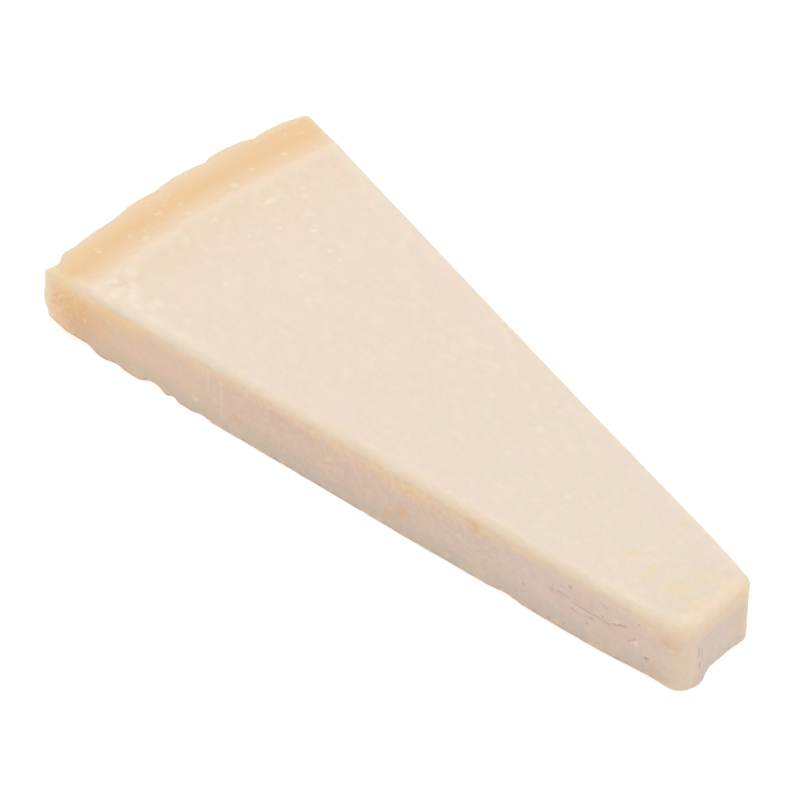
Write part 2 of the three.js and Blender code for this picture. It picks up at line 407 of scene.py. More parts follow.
# %% Normals
def normals(points, faces):
    """Unit normals at points: sums of the faces' normals, each the cross product of two diagonals."""
    diagonals = points[faces[:, 2]] - points[faces[:, 0]], points[faces[:, 3]] - points[faces[:, 1]]
    facing = np.cross(*diagonals)
    total = np.stack(
        [np.bincount(faces.ravel(), np.repeat(facing[:, axis], 4), len(points)) for axis in range(3)], axis=1
    )
    return total / np.linalg.norm(total, axis=1, keepdims=True)


outwards = normals(body, quads)
skyward = outwards[:, 2]
on_top = ease((skyward - 0.55) / 0.4)
on_underside = ease((-skyward - 0.55) / 0.4)
on_sides = 1 - on_top - on_underside


def facing(direction):
    """1 on the sides that look along a direction, easing to 0 where they turn sixty degrees from it."""
    return on_sides * ease((outwards @ np.array(direction) - 0.45) / 0.5)


on_front = facing((0, -1, 0))
on_back = facing((0, 1, 0))
on_nose = facing((1, 0, 0))
on_rind = facing((-1, 0, 0))
for name, mask in {"the top": on_top, "the underside": on_underside, "the sides": on_sides}.items():
    print("share of points on", name, round(float(mask.mean()), 2))

# %% [markdown]
# The small marks are what make the slice look cut from real cheese: white crystals of ripening, shallow
# flakes and a scuffed corner on the top, pits and stains on the sides, and fissures where the grain of the
# paste parts. Each kind is a short list of places on a face, in millimetres from the rind and from the front
# or up from the underside, each with a radius. A function turns a list into a mask from 0 to 1, which will
# dent or raise the mesh. The finish uses the lists of the faces in view again for the colours, at a finer
# grain than the mesh can hold. The hidden faces get crystals and pits from a seeded draw.

# %% Places of the marks
CRYSTALS = [
    (18.6, 42.3, 1.1), (19.5, 50.0, 0.65), (21.2, 48.7, 0.5), (30.8, 41.8, 0.9), (40.5, 38.5, 0.55),
    (26.1, 37.9, 0.55), (24.0, 32.1, 0.5), (15.8, 31.5, 0.65), (31.0, 18.4, 0.45), (13.2, 23.3, 0.4),
    (6.0, 25.6, 0.5), (7.6, 25.9, 0.45), (8.1, 20.5, 0.55), (4.6, 10.7, 0.6), (5.8, 10.3, 0.45),
    (8.5, 48.1, 0.8), (8.7, 55.9, 0.9), (10.2, 61.8, 0.65), (37.6, 39.1, 0.55), (39.4, 29.9, 0.5),
    (14.6, 5.5, 0.6),
]
FLAKES = [
    (137.0, 10.7, 3.0), (141.9, 10.1, 2.8), (142.4, 7.5, 2.2), (146.0, 15.2, 2.3), (150.0, 14.1, 2.8),
    (148.3, 9.2, 4.4), (153.8, 7.2, 3.6), (137.2, 22.9, 1.8), (124.4, 27.0, 1.6), (126.2, 17.7, 2.4),
]
SCUFF = [
    (14.6, 4.9, 1.6), (16.6, 4.3, 2.4), (18.0, 6.0, 3.0), (20.3, 4.4, 2.8), (22.6, 3.2, 2.2),
    (25.0, 5.6, 2.4), (17.1, 2.7, 2.0), (15.2, 9.4, 2.0), (27.0, 2.4, 1.5),
]
TORN_EDGE = [[(14.7, 4.4), (15.3, 4.5), (15.9, 4.8), (16.2, 5.7), (16.5, 6.6)]]
PITS = [
    (118.4, 8.1, 0.4), (119.0, 3.6, 0.5), (120.7, 6.5, 0.55), (126.8, 1.4, 0.5), (130.6, 2.4, 0.5),
    (131.5, 12.9, 0.6), (135.6, 5.8, 0.55), (138.6, 2.1, 0.5), (139.1, 10.0, 0.5), (147.5, 13.5, 0.45),
    (149.2, 5.4, 0.5),
]
STAINS = [
    (153.7, 12.9, 1.9), (155.6, 12.7, 1.7), (156.8, 12.0, 1.5), (151.5, 2.2, 2.6), (108.8, 14.2, 2.6),
    (91.6, 6.6, 3.2), (88.5, 4.0, 2.6), (50.5, 5.5, 1.9), (144.3, 10.8, 1.2),
]
CHIPPED = [(57.6, 14.8, 0.7), (46.6, 12.9, 0.6), (40.0, 4.6, 1.2), (142.3, 11.0, 0.9), (146.9, 8.0, 1.1)]


def spots(x, y, places):
    """A mask of soft round spots: the largest hump of any place (x, y, radius)."""
    return np.max([hump(np.hypot(x - px, y - py), 0, radius) for px, py, radius in places], axis=0)


hidden = np.random.default_rng(7)
UNDER_CRYSTALS = hidden.uniform((14, 4, 0.5), (130, 30, 0.9), (16, 3))
BACK_PITS = hidden.uniform((20, 2, 0.4), (150, 14, 0.6), (12, 3))

crystals = on_top * spots(from_rind, from_front, CRYSTALS)
crystals = crystals + on_underside * spots(from_rind, from_front, UNDER_CRYSTALS)
flakes = on_top * spots(from_rind, from_front, FLAKES)
scuffed = on_top * spots(from_rind, from_front, SCUFF)
pits = on_front * spots(from_rind, height, PITS) + on_back * spots(from_rind, height, BACK_PITS)
chipped = on_front * spots(from_rind, height, CHIPPED)
print(len(CRYSTALS), "crystals,", len(FLAKES), "flakes and", len(PITS), "pits in the photograph's view")

# %% [markdown]
# Fissures are broken lines on a cut side, each a list of places like those above. In the mesh a fissure is a
# shallow trough, and on the faces in view the finish will draw a dark hairline of painted shade down its
# middle. The back side, which is hidden, has a few troughs of its own.

# %% Fissures and knife lines
FISSURES = [
    [(127.3, 10.1), (129.9, 10.1), (132.9, 9.4), (135.9, 9.0), (139.2, 9.2), (140.6, 9.0)],
    [(141.5, 9.6), (143.2, 10.5), (144.5, 10.8)],
    [(145.3, 7.6), (146.8, 9.0)],
    [(138.4, 13.1), (140.2, 13.0)],
    [(132.1, 7.5), (134.5, 7.4), (136.8, 7.9)],
    [(148.4, 5.2), (149.9, 5.7)],
]
BACK_FISSURES = [
    [(112.0, 7.2), (118.5, 6.5), (124.0, 6.9)],
    [(71.0, 10.8), (76.0, 10.3)],
    [(140.5, 4.8), (144.0, 5.2)],
]
NOSE_FISSURES = [
    [(5.5, 12.0), (4.8, 11.6), (4.2, 10.9), (4.3, 8.3)],
    [(5.0, 9.8), (5.4, 7.4)],
    [(4.6, 6.6), (4.9, 4.6)],
]
KNIFE_LINES = [[(46.7, 13.7), (46.3, 3.4)], [(43.4, 15.0), (43.2, 9.0)]]
FISSURE_HALF = 0.5


def line_mask(x, y, paths):
    """A mask of broken lines: a hump of the distance to the nearest stretch."""
    stretches = [(a, b) for path in paths for a, b in zip(path, path[1:])]
    nearest = np.full_like(x, np.inf)
    for (ax, ay), (bx, by) in stretches:
        t = np.clip(((x - ax) * (bx - ax) + (y - ay) * (by - ay)) / ((bx - ax) ** 2 + (by - ay) ** 2), 0, 1)
        nearest = np.minimum(nearest, np.hypot(x - ax - t * (bx - ax), y - ay - t * (by - ay)))
    return hump(nearest, 0, FISSURE_HALF)


fissures = on_front * line_mask(from_rind, height, FISSURES)
fissures = fissures + on_back * line_mask(from_rind, height, BACK_FISSURES)
fissures = fissures + on_nose * line_mask(from_front, height, NOSE_FISSURES)
fissures = fissures * ease((rough(body, 1.2, 2, 63) + 0.9) / 0.9)
knife_lines = on_front * line_mask(from_rind, height, KNIFE_LINES)
torn_edge = on_top * line_mask(from_rind, from_front, TORN_EDGE)
fissure_count = len(FISSURES) + len(BACK_FISSURES) + len(NOSE_FISSURES)
print(fissure_count, "fissures and", len(KNIFE_LINES), "knife lines")

# %% [markdown]
# Now all fine relief is summed as one height in millimetres: a slow unevenness everywhere but on the
# underside, which lies flat, a grain on the cut faces that is drawn out along the knife's path, coarse grit
# where the rind was cut through, and the marks above. The rind's outer face gets shallow upright flutes and
# pores. One sum shows better how they add up than a stack of Displace modifiers would.

# %% Fine relief
SLOW_HEIGHT = 0.10
RIPPLE_HEIGHT = 0.03
DRAWN_HEIGHT = 0.022
SAWN_HEIGHT = 0.040
GRAIN_HEIGHT = 0.020
GRIT_HEIGHT = 0.03
FLUTE_HEIGHT = 0.10
PORE_HEIGHT = 0.12
SCUFF_HEIGHT = 0.07
RIDGE_HEIGHT = 0.05
CRYSTAL_HEIGHT = 0.08
CHIPPED_HEIGHT = 0.07
FLAKE_DEPTH = 0.05
FISSURE_DEPTH = 0.18
PIT_DEPTH = 0.22
KNIFE_DEPTH = 0.04
TORN_DEPTH = 0.08
GRIT_END = 8.5
GRIT_FADE = 4.5
RIDGE_PLACE = 11.9
RIDGE_HALF = 0.9

slow = SLOW_HEIGHT * noise(body, 17.0, 11) + RIPPLE_HEIGHT * noise(body, 6.0, 12)
drawn = DRAWN_HEIGHT * rough(body, (9.0, 1.6, 3.0), 3, 21) * on_top
sawn = SAWN_HEIGHT * rough(body, (1.3, 1.3, 9.0), 2, 22) * (on_front + on_back + on_nose)
grain = GRAIN_HEIGHT * rough(body, 1.7, 2, 31)
rind_cut = 1 - ease((from_rind - GRIT_END) / GRIT_FADE)
grit = GRIT_HEIGHT * rough(body, 1.1, 2, 41) * rind_cut * on_sides
flutes = FLUTE_HEIGHT * noise(body, (40.0, 2.6, 30.0), 51)
pores = PORE_HEIGHT * rough(body, 2.4, 3, 52)
lumps = SCUFF_HEIGHT * scuffed * rough(body, 1.6, 2, 64)
ridge = RIDGE_HEIGHT * on_top * hump(from_rind + 0.4 * noise(body, 5.0, 65), RIDGE_PLACE, RIDGE_HALF)
raised = CRYSTAL_HEIGHT * crystals + CHIPPED_HEIGHT * chipped + lumps + ridge
dents = FLAKE_DEPTH * flakes + FISSURE_DEPTH * fissures + PIT_DEPTH * pits
dents = dents + KNIFE_DEPTH * knife_lines + TORN_DEPTH * torn_edge
relief = slow * (1 - on_underside) + drawn + sawn + grain + grit + on_rind * (flutes + pores)
relief = relief + raised - dents
skin = body + outwards * relief[:, None]
skin[:, 2] = np.maximum(skin[:, 2], 0.0)
print("fine relief from", round(float(relief.min()), 2), "to", round(float(relief.max()), 2), "mm")

# %% [markdown]
# Handling polishes and dries the edges, and light leaks out of them, so they look creamier than the faces.
# Their cream is partly wear and partly painted light on the rounded edges. How near a point is to an edge is
# the sum of its distances from the two faces that meet there. The widths below are measured over the
# surface. Along the top they are narrower beside the rind, which is harder.

# %% Worn edges, partly painted light
WORN_LIT_FRONT_TOP = (4.2, 3.0)
WORN_LIT_BACK_TOP = (3.6, 1.8)
WORN_LIT_NOSE_TOP = 5.0
WORN_LIT_NOSE_FRONT = 7.0
WORN_LIT_NOSE_BACK = 4.0
BACK_RIM_WIDTH = 2.6


def near_edge(first, second, width):
    """1 on the edge where two faces meet, easing to 0 at a width measured over the surface."""
    return 1 - ease((first + second) / width)


def towards_rind(widths):
    """The first width far from the rind and the second beside it."""
    return widths[0] + (widths[1] - widths[0]) * near_rind


from_top = THICKNESS - height
# The edges' cream is partly wear and partly painted light.
worn = np.maximum.reduce(
    [
        near_edge(from_front, from_top, towards_rind(WORN_LIT_FRONT_TOP)),
        near_edge(from_back, from_top, towards_rind(WORN_LIT_BACK_TOP)),
        near_edge(from_nose, from_top, WORN_LIT_NOSE_TOP),
        near_edge(from_nose, from_front, WORN_LIT_NOSE_FRONT),
        near_edge(from_nose, from_back, WORN_LIT_NOSE_BACK),
    ]
)
back_rim = near_edge(from_back, from_top, BACK_RIM_WIDTH) * ease((skyward - 0.2) / 0.4)
print("share of points on worn edges", round(float((worn > 0.5).mean()), 2))

# %% [markdown]
# Light that enters at the top edge comes out of the cut sides just below it, warm and yellow, and here it is
# painted into the sides' colour as painted light. How far down it reaches depends on how dense the paste is
# there, so the reach is a list of (distance from the rind, reach), and noise makes its lower border uneven.

# %% Warm light under the top edge
GLOW_REACH = [
    (0, 8.0), (20, 6.5), (45, 4.6), (62, 3.0), (80, 4.5), (92, 7.0), (105, 6.5), (117, 3.4), (150, 4.2),
]
GLOW_START = 1.0

reach_here = np.interp(from_rind, *zip(*GLOW_REACH))
uneven = 1.3 * noise(body, 6.0, 71) + 0.6 * noise(body, 2.5, 72)
edge_glow = 1 - ease((from_top - GLOW_START + uneven) / reach_here)
print("warm light reaches down", reach_here.min().round(1), "to", reach_here.max().round(1), "mm")

# %% [markdown]
# The mesh is made from the arrays in one call, in metres, with its origin at the frame's origin. What the
# finish needs to know about a point goes along as attributes: its distances from the rind and the front, its
# height, which face it is on, and those masks that the mesh is fine enough for. The one called side is 1 on
# the upright faces and 0 on the top and on the underside, which the knife cut alike.

# %% The wedge's mesh
side_share = (1 - ease((skyward - 0.25) / 0.5)) * (1 - ease((-skyward - 0.45) / 0.5))
mesh = bpy.data.meshes.new("cheese_skin")
mesh.from_pydata(skin * MM, [], quads.tolist())
mesh.shade_smooth()
for name, values in {
    "from_rind": from_rind,
    "from_front": from_front,
    "height": height,
    "side": side_share,
    "nose_face": on_nose,
    "front_face": on_front,
    "outer_rind": on_rind,
    "worn": worn,
    "edge_glow": edge_glow,
    "flakes": flakes,
    "scuffed": scuffed,
    "back_rim": back_rim,
    "hidden_marks": on_underside * crystals,
    "knife_lines": knife_lines,
    "torn_edge": torn_edge,
}.items():
    mesh.attributes.new(name, "FLOAT", "POINT").data.foreach_set("value", values.astype(np.float32))
wedge = bpy.data.objects.new("cheese", mesh)
bpy.context.collection.objects.link(wedge)
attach(wedge, "root")
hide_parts("cheese_wedge")
print("mesh of", len(mesh.vertices), "points and", 2 * len(mesh.polygons), "triangles")

# %% [markdown]
# The finish is a network of shader nodes. It could be wired by hand, but as arithmetic it can be read and
# changed. A small class wraps a socket so that plus, minus and times add Math nodes, and one function
# makes every other node. Colours are given as they are read off a picture and turned into linear light.

# %% Shader arithmetic
class Value:
    """An output socket of a material. Arithmetic on it adds Math nodes and gives another Value."""

    def __init__(self, nodes, socket):
        self.nodes = nodes
        self.socket = socket

    def math(self, operation, first, second):
        made = make(self.nodes, "ShaderNodeMath", {"operation": operation}, {0: first, 1: second})
        return made.out("Value")

    def __add__(self, other):
        return self.math("ADD", self, other)

    def __radd__(self, other):
        return self.math("ADD", other, self)

    def __sub__(self, other):
        return self.math("SUBTRACT", self, other)

    def __rsub__(self, other):
        return self.math("SUBTRACT", other, self)

    def __mul__(self, other):
        return self.math("MULTIPLY", self, other)

    def __rmul__(self, other):
        return self.math("MULTIPLY", other, self)

    def at_least(self, other):
        return self.math("MAXIMUM", self, other)

    def at_most(self, other):
        return self.math("MINIMUM", self, other)


class Made:
    """A node that was made, and its outputs by name."""

    def __init__(self, nodes, node):
        self.nodes = nodes
        self.node = node

    def out(self, name):
        return Value(self.nodes, self.node.outputs[name])


def make(nodes, kind, settings, sockets):
    """Makes one node: its settings first, then a value or a link for each socket, by name or number."""
    node = nodes.new(kind)
    for name, value in settings.items():
        if name == "stops":
            ramp_stops(node.color_ramp, value)
        else:
            setattr(node, name, value)
    for name, value in sockets.items():
        if isinstance(value, Value):
            nodes.id_data.links.new(value.socket, node.inputs[name])
        else:
            node.inputs[name].default_value = value
    return Made(nodes, node)


def ramp_stops(ramp, stops):
    """Puts (place, colour) stops on a colour ramp."""
    while len(ramp.elements) < len(stops):
        ramp.elements.new(0.5)
    for element, (place_on_ramp, colour) in zip(ramp.elements, stops):
        element.position = place_on_ramp
        element.color = colour


def linear(red, green, blue):
    """A colour read off a picture, 0 to 255, as linear light: about the power 2.4 of its share of 255."""
    c = np.array([red, green, blue]) / 255
    return (*np.where(c <= 0.04045, c / 12.92, ((c + 0.055) / 1.055) ** 2.4), 1.0)


print("half way, 128, is", round(float(linear(128, 128, 128)[0]), 3), "of white in linear light")

# %% [markdown]
# Each face of the cheese has its own run of colour from the rind inwards. On top, the rind is amber under a
# paler outer rim, and the amber fades into cream at the faint lip where the band ends; a slightly paler line
# on the lip is a painted highlight. The cut sides carry the amber further, and they are darker than the top,
# which is painted shade. They get three runs: one at half height, one just under the top edge, which is
# painted light for the light that leaks through the paste and warms it, and one at the foot, darker still
# with painted shade. The worn edges have a run of their own, partly the cream of wear and partly painted
# light. A run is a list of (distance from the rind, colour).

# %% Runs of colour
RUN_LENGTH = 160.0
# The slightly paler stops at about twelve to thirteen millimetres are a painted highlight on the lip.
TOP_RUN = [
    (0.0, (224, 209, 185)), (2.0, (229, 205, 170)), (4.0, (230, 198, 155)), (6.5, (228, 195, 151)),
    (8.5, (230, 201, 162)), (10.5, (230, 206, 175)), (11.5, (231, 209, 181)), (12.3, (231, 211, 187)),
    (13.3, (231, 212, 192)), (14.3, (228, 210, 188)), (15.5, (226, 208, 184)), (20.0, (226, 210, 189)),
    (30.0, (227, 211, 194)), (70.0, (225, 210, 195)), (140.0, (223, 209, 194)), (152.0, (221, 207, 188)),
]
# The sides' runs are darker than the top's run: painted shade on the upright faces.
SHADED_SIDE_RUN = [
    (0.0, (242, 227, 208)), (2.5, (242, 208, 163)), (8.0, (234, 187, 139)), (11.8, (232, 188, 141)),
    (13.0, (230, 189, 151)), (20.0, (228, 196, 168)), (40.0, (226, 198, 170)), (60.0, (223, 194, 175)),
    (100.0, (222, 197, 177)), (130.0, (221, 199, 185)), (150.0, (221, 196, 181)),
]
# Painted light: the warm glow of light that leaks out just under the top edge.
UNDER_EDGE_GLOW_RUN = [
    (0.0, (243, 224, 198)), (4.0, (243, 208, 160)), (8.0, (243, 208, 158)), (12.0, (248, 216, 169)),
    (16.5, (244, 203, 138)), (30.0, (242, 207, 160)), (60.0, (243, 211, 170)), (100.0, (240, 206, 162)),
    (150.0, (235, 206, 176)),
]
# The foot's run is darker than the middle run: painted shade where the side meets the floor.
SHADED_FOOT_RUN = [
    (0.0, (242, 217, 192)), (4.0, (238, 210, 179)), (6.5, (224, 194, 164)), (9.5, (221, 189, 157)),
    (14.0, (214, 191, 168)), (45.0, (209, 191, 171)), (100.0, (206, 191, 175)),
]
# Cream of the edges: partly wear and partly painted light.
WORN_AND_LIT_RUN = [
    (12.0, (232, 223, 205)), (40.0, (229, 216, 196)), (80.0, (228, 210, 184)), (150.0, (226, 212, 191)),
    (155.0, (230, 210, 177)), (158.5, (230, 212, 187)),
]
print("the top's run has", len(TOP_RUN), "stops over", RUN_LENGTH, "mm")

# %% [markdown]
# The colours could be painted on an image, but then they would blur close up. Here each is worked out from
# a point's distances to the faces and from noise, so it stays sharp at any size. Five helpers are enough.

# %% Helpers of the finish
finish = bpy.data.materials.new("hard cheese")
finish.use_nodes = True
nodes = finish.node_tree.nodes
nodes.clear()
place_on_object = make(nodes, "ShaderNodeTexCoord", {}, {}).out("Object")


def attribute(name):
    """A value that the mesh carries at its points."""
    return make(nodes, "ShaderNodeAttribute", {"attribute_name": name}, {}).out("Fac")


def blend(amount, first, second):
    """A colour between two colours, each a Value or read off a picture as 0 to 255."""
    ends = [end if isinstance(end, Value) else linear(*end) for end in (first, second)]
    sockets = {0: amount, 6: ends[0], 7: ends[1]}
    return make(nodes, "ShaderNodeMix", {"data_type": "RGBA"}, sockets).out(2)


def run(distance, stops):
    """A run of colour along a distance in millimetres."""
    ramp = [(place / RUN_LENGTH, linear(*colour)) for place, colour in stops]
    sockets = {"Fac": distance * (1 / RUN_LENGTH)}
    return make(nodes, "ShaderNodeValToRGB", {"stops": ramp}, sockets).out("Color")


def between(value, low_end, high_end):
    """0 at the low end of a value and 1 at the high end, eased between them as in ease above."""
    sockets = {"Value": value, "From Min": low_end, "From Max": high_end}
    return make(nodes, "ShaderNodeMapRange", {"interpolation_type": "SMOOTHSTEP"}, sockets).out("Result")


def mottle(size, detail=3.0, shift=0.0):
    """Soft noise about 0.5, of a size in millimetres along each axis."""
    sockets = {"Vector": place_on_object, "Location": [shift] * 3, "Scale": [1 / (MM * s) for s in size]}
    stretched = make(nodes, "ShaderNodeMapping", {"vector_type": "POINT"}, sockets).out("Vector")
    sockets = {"Vector": stretched, "Scale": 1.0, "Detail": detail, "Roughness": 0.55}
    return make(nodes, "ShaderNodeTexNoise", {"noise_dimensions": "3D"}, sockets).out("Fac")


print("an empty finish with", len(nodes), "node")

# %% [markdown]
# These values are read again and again below. Slow noise moves the distance from the rind a little, so
# that no colour ends on a ruled line. Paste is 0 in the rind and 1 in the cheese behind it, and two noises,
# one grainy and one lumpy, stand for the fine crumb and the coarser curd.

# %% What a point knows
WAVER = 1.2
RIND_END = 11.0
PASTE_START = 15.0

side = attribute("side")
nose_face = attribute("nose_face")
front_face = attribute("front_face")
outer_rind = attribute("outer_rind")
from_rind_here = attribute("from_rind")
from_front_here = attribute("from_front")
height_here = attribute("height")
in_from_rind = from_rind_here + WAVER * (mottle((11.0, 11.0, 11.0), 2.0) - 0.5)
paste = between(in_from_rind, RIND_END, PASTE_START)
grainy = mottle((1.2, 1.0, 1.0), 4.0)
lumpy = mottle((2.6, 1.6, 1.6), 5.0)


def by_face(level, upright):
    """One amount on the top and the underside and another on the sides."""
    return level + (upright - level) * side


print("the rind gives way to paste from", RIND_END, "to", PASTE_START, "mm inwards")

# %% [markdown]
# The runs are laid over the faces first. Down a side, its middle run gives way to the foot's darker run,
# which is painted shade. The nose has colours of its own: a cooler paste, which is yellower towards the
# back, and darker towards the foot with painted shade. Then the sides warm up under the top edge as far as
# light gets, which is painted light, and last their lowest edge gets a painted shade.

# %% The paste on each face
NOSE_PASTE = (216, 198, 183)
NOSE_YELLOW = (219, 196, 175)
# Painted shade: the nose darkens towards its foot.
NOSE_SHADED_FOOT = (202, 191, 181)
NOSE_SHADED_FOOT_SHOWN = 0.8
GLOW_SHOWN = 0.9
# Painted shade along the lowest edge of the sides and the nose.
FOOT_SHADE = (160, 142, 130)
FOOT_SHADE_ON_SIDES = 0.52
FOOT_SHADE_ON_NOSE = 0.92

side_paste = blend(between(height_here, 8.5, 1.0), run(in_from_rind, SHADED_SIDE_RUN), run(in_from_rind, SHADED_FOOT_RUN))
nose_paste = blend(between(from_front_here, 10.5, 15.0), NOSE_PASTE, NOSE_YELLOW)
nose_paste = blend(between(height_here, 6.5, 1.5) * NOSE_SHADED_FOOT_SHOWN, nose_paste, NOSE_SHADED_FOOT)
side_paste = blend(nose_face, side_paste, nose_paste)
# Painted light under the top edge, as far down as the glow reaches.
side_paste = blend(attribute("edge_glow") * GLOW_SHOWN, side_paste, run(in_from_rind, UNDER_EDGE_GLOW_RUN))
foot_edge = between(height_here + 1.6 * (grainy - 0.5), 1.5 + 0.7 * nose_face, 0.2)
foot_shown = FOOT_SHADE_ON_SIDES + (FOOT_SHADE_ON_NOSE - FOOT_SHADE_ON_SIDES) * nose_face
side_paste = blend(foot_edge * foot_shown, side_paste, FOOT_SHADE)
colour = blend(side, run(in_from_rind, TOP_RUN), side_paste)
print("runs laid over the faces with", len(nodes), "nodes")

# %% [markdown]
# The paste isn't one colour. Pinkish and yellowish clouds lie in it, strong on the sides and hardly there
# on the top, and the nose has soft upright bands. Each is a noise of its own size.

# %% Clouds and bands in the paste
CLOUD_PINK = (222, 193, 178)
CLOUD_YELLOW = (228, 203, 168)
CLOUDS_LEVEL = 0.035
CLOUDS_UPRIGHT = 0.36
PINK_BANDS = 0.3
YELLOW_BANDS = 0.24

cloudy = mottle((13.0, 9.0, 9.0), 3.0)
cloudy_too = mottle((7.0, 6.0, 6.0), 3.0, 30.0)
banded = mottle((2.2, 2.2, 16.0), 2.0, 40.0)
cloud_strength = paste * by_face(CLOUDS_LEVEL, CLOUDS_UPRIGHT)
colour = blend(between(cloudy, 0.5, 0.66) * cloud_strength, colour, CLOUD_PINK)
colour = blend(between(cloudy_too, 0.52, 0.68) * cloud_strength, colour, CLOUD_YELLOW)
colour = blend(between(banded, 0.5, 0.62) * nose_face * PINK_BANDS, colour, CLOUD_PINK)
colour = blend(between(banded, 0.46, 0.36) * nose_face * YELLOW_BANDS, colour, CLOUD_YELLOW)
print("clouds at", CLOUDS_UPRIGHT, "on the sides and", CLOUDS_LEVEL, "on the top")

# %% [markdown]
# Worn edges are creamier than the faces, partly from wear and partly as painted light, less so where the
# rind is. Where the top rounds off to the back, the photograph also shows a thin greyish rim.

# %% Cream of the worn edges, partly painted light
WEAR_AND_LIGHT_LEVEL = 0.32
WEAR_AND_LIGHT_UPRIGHT = 0.5
WEAR_AND_LIGHT_PAST_RIND = 0.7
BACK_RIM = (212, 206, 190)
BACK_RIM_SHOWN = 0.7

wear_and_light_at_rind = by_face(WEAR_AND_LIGHT_LEVEL, WEAR_AND_LIGHT_UPRIGHT)
past_rind = between(from_rind_here, 4.0, 12.0)
# Partly wear and partly painted light on the rounded edges.
worn_and_lit_here = attribute("worn") * (wear_and_light_at_rind + (WEAR_AND_LIGHT_PAST_RIND - wear_and_light_at_rind) * past_rind)
colour = blend(worn_and_lit_here, colour, run(from_rind_here, WORN_AND_LIT_RUN))
colour = blend(attribute("back_rim") * BACK_RIM_SHOWN, colour, BACK_RIM)
print("worn edges are cream by", WEAR_AND_LIGHT_PAST_RIND)

# %% [markdown]
# The rind is paste that dried out. Where the knife went through it, it is gritty, with orange and pale
# crumbs. Its outer face is hidden in the photograph, so it gets what such rinds have in general: aged
# tones, small dark pores and fine upright lines.

# %% The rind, cut through and outside
GRIT_ORANGE = (226, 168, 108)
GRIT_PALE = (238, 207, 177)
ORANGE_GRIT_SHOWN = 0.52
PALE_GRIT_SHOWN = 0.32
OUTER_RIND = (224, 182, 124)
OUTER_RIND_DEEP = (207, 159, 100)
RIND_PORE = (176, 128, 84)
BAND_ORANGE = (228, 188, 136)

fine_grit = mottle((1.0, 1.0, 1.0), 3.0, 12.0)
grit_here = side * (1.0 - between(in_from_rind, 8.0, 13.5)) * between(in_from_rind, 1.0, 3.5)
grit_here = grit_here * (1.0 - between(height_here, 12.0, 16.0))
colour = blend(grit_here * between(fine_grit, 0.42, 0.68) * ORANGE_GRIT_SHOWN, colour, GRIT_ORANGE)
colour = blend(grit_here * between(fine_grit, 0.42, 0.3) * PALE_GRIT_SHOWN, colour, GRIT_PALE)
aged = mottle((6.0, 6.0, 4.0), 5.0, 9.0)
sawn_lines = mottle((0.7, 0.7, 14.0), 3.0)
for shown, rind_colour in [
    (0.9, OUTER_RIND),
    (between(aged, 0.3, 0.72) * 0.8, OUTER_RIND_DEEP),
    (between(grainy, 0.38, 0.26) * 0.5, RIND_PORE),
    (between(sawn_lines, 0.5, 0.7) * 0.3, BAND_ORANGE),
]:
    colour = blend(outer_rind * shown, colour, rind_colour)
print("the rind brings the finish to", len(nodes), "nodes")

# %% [markdown]
# Now the fine crumb: yellowish flakes where thin chips lifted off the top, white crumbs, more on the top
# than on the sides, and a brownish grain on the sides, strongest in their middle. The amber band is a little
# deeper in spots and along its outer rim at the back.

# %% Flakes, crumb and the band
FLAKE_YELLOW = (226, 207, 173)
FLAKES_SHOWN = 0.8
GRAIN_WHITE = (236, 220, 202)
CRUMB_LEVEL = 0.34
CRUMB_UPRIGHT = 0.1
# The brown of the sides' grain, and the painted shade inside pits and cracks.
SHADE_AND_GRAIN_BROWN = (160, 124, 98)
GRAIN_NEAR_RIND = 0.06
GRAIN_IN_MIDDLE = 0.09
GRAIN_LOST_AT_NOSE = 0.06
BAND_SPOTS = 0.16
BAND_RIM = 0.5

flake_edges = between(mottle((2.4, 2.0, 2.0), 3.0, 21.0), 0.42, 0.54)
colour = blend(attribute("flakes") * flake_edges * FLAKES_SHOWN, colour, FLAKE_YELLOW)
crumb_shown = paste * by_face(CRUMB_LEVEL, CRUMB_UPRIGHT)
colour = blend(between(lumpy, 0.45, 0.72) * crumb_shown, colour, GRAIN_WHITE)
grain_here = GRAIN_NEAR_RIND + GRAIN_IN_MIDDLE * between(from_rind_here, 35.0, 60.0)
grain_here = grain_here - GRAIN_LOST_AT_NOSE * between(from_rind_here, 110.0, 125.0)
colour = blend(between(grainy, 0.72, 0.28) * side * grain_here, colour, SHADE_AND_GRAIN_BROWN)
in_band = (1.0 - paste) * (1.0 - side) * between(from_rind_here, 1.0, 3.0)
rim_at_back = between(from_front_here, 42.0, 60.0) * between(from_rind_here, 5.0, 1.5)
band_shown = between(fine_grit, 0.45, 0.65) * BAND_SPOTS + rim_at_back * BAND_RIM
colour = blend(in_band * band_shown, colour, BAND_ORANGE)
print("crumb at", CRUMB_LEVEL, "on the top and", CRUMB_UPRIGHT, "on the sides")

# %% [markdown]
# The marks are narrower than the mesh can hold, so their distances are worked out again in the finish, from
# the point's place on its face, with a little noise to make them ragged.

# %% Spots, hairlines and grains in the finish
FISSURE_LINE = 0.36
RAGGED = 0.6


def vector_math(operation, first, second, output="Vector"):
    """Vector Math on two vectors."""
    return make(nodes, "ShaderNodeVectorMath", {"operation": operation}, {0: first, 1: second}).out(output)


def on_face(x, y):
    """A point's place on a face as a vector, made ragged by fine noise."""
    uneven_here = RAGGED * (mottle((0.9, 0.9, 0.9), 3.0, 5.0) - 0.5)
    sockets = {"X": x - uneven_here, "Y": y + uneven_here}
    return make(nodes, "ShaderNodeCombineXYZ", {}, sockets).out("Vector")


def spots_here(place_here, places):
    """1 in the middle of soft spots (x, y, radius), and 0 from a radius away."""
    mask = None
    for x, y, spot_radius in places:
        away = vector_math("DISTANCE", place_here, (x, y, 0.0), "Value")
        spot = between(away, spot_radius, 0.0)
        mask = mask.at_least(spot) if mask else spot
    return mask


